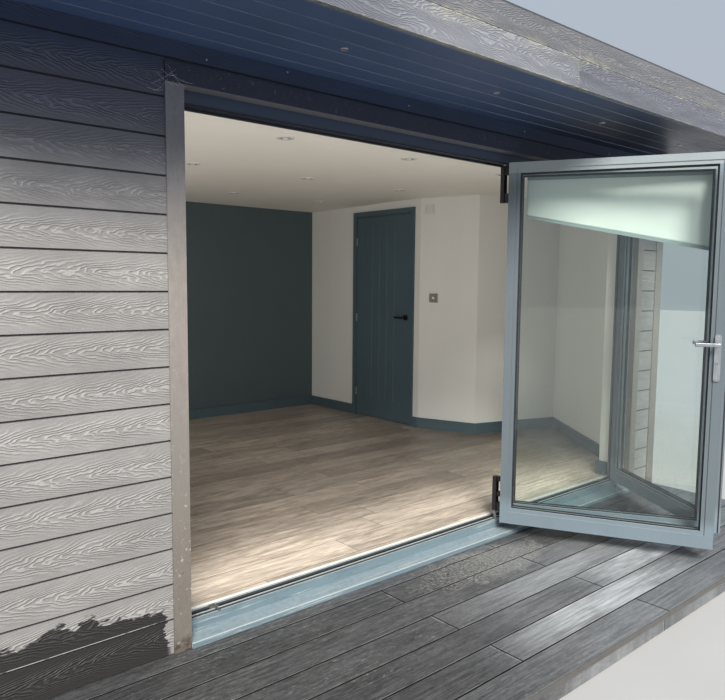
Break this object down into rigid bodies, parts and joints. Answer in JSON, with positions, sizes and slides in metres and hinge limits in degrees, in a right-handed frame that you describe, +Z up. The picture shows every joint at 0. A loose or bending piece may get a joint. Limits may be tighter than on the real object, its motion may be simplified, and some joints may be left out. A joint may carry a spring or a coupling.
{
  "type": "garden office pod",
  "caption": "Flat-roofed garden office pod clad in dark boards, one front corner splayed, with folded-back glazed doors, deck, blind and an inner store room behind a hinged door.",
  "frame": {"origin": "middle of the bounding box's base, at ground level", "axes": "+X along the front wall to the right as seen from outside, +Y into the building from the deck, +Z up"},
  "size_m": [5.89, 5.248, 2.603],
  "materials": {
    "base_timber": "rough treated softwood",
    "floor_panel": "raw board over insulation",
    "oak_laminate": "satin grey-brown oak planks",
    "white_trim": "satin white paint",
    "wall_core": "painted white inside, insulated timber panel behind",
    "feature_wall": "matt dark teal painted board inside, insulated timber panel behind",
    "wall_boards": "embossed grain, matt charcoal composite",
    "trim_boards": "embossed grain, matt charcoal composite",
    "door_metal": "satin blue-grey powder coat",
    "sill_metal": "satin blue-grey powder coat, worn",
    "pane": "clear double glazing",
    "hinge_black": "satin black",
    "bright_metal": "brushed",
    "blind_metal": "satin pale grey",
    "blind_cloth": "matt woven blind cloth",
    "wall_plaster": "painted white boarded stud wall",
    "ceiling_plaster": "matt white painted board",
    "door_paint": "satin dark teal paint",
    "dark_metal": "satin dark bronze",
    "lamp": "satin white ring and frosted lens",
    "plate_white": "gloss white and brushed metal",
    "roof_core": "raw insulated roof panel",
    "roof_sheet": "matt black roofing sheet",
    "roof_edge": "satin charcoal",
    "fascia_boards": "embossed swirl grain, charcoal composite with lichen",
    "soffit_boards": "matt dark slate boards",
    "rainwater": "black plastic",
    "deck_boards": "weathered charcoal composite decking"
  },
  "bodies": {
    "pod": {"back_wall": "feature_wall", "base_frame": "base_timber", "blind_fabric": "blind_cloth", "blind_rails": "blind_metal", "ceiling": "ceiling_plaster", "cladding": "wall_boards", "corner_trims": "trim_boards", "deck_boards": "deck_boards", "deck_fascia": "deck_boards", "deck_joists": "base_timber", "door_frame": "door_metal", "door_glass": "pane", "door_sill": "sill_metal", "downlights": "lamp", "downpipe": "rainwater", "fascia_boards": "fascia_boards", "floor_deck": "floor_panel", "floor_laminate": "oak_laminate", "front_lintel": "wall_core", "front_wall_left": "wall_core", "front_wall_right": "wall_core", "gutter": "rainwater", "gutter_fixings": "rainwater", "lead_handle": "bright_metal", "leaf_hinges": "hinge_black", "leaf_jamb": "door_metal", "leaf_lead": "door_metal", "leaf_middle": "door_metal", "leaf_rollers": "bright_metal", "left_wall": "wall_core", "opening_trim": "trim_boards", "partition_back": "wall_plaster", "partition_front": "wall_plaster", "partition_over_door": "wall_plaster", "reveal_lining": "white_trim", "right_wall": "wall_core", "roof_deck": "roof_core", "roof_edge_trim": "roof_edge", "roof_membrane": "roof_sheet", "skirting": "door_paint", "soffit_boards": "soffit_boards", "splay_wall": "wall_core", "store_door_frame": "door_paint", "store_door_hinges": "bright_metal", "wall_plates": "plate_white"},
    "store_door": {"store_door_leaf": "door_paint", "store_door_handle": "dark_metal"}
  },
  "joints": [
    {"name": "store_door_hinge", "type": "hinge", "parent": "pod", "child": "store_door", "pos_m": [1.524, 1.4895, 0.182], "axis": [0, 0, -1], "range_deg": [0, 95]}
  ]
}
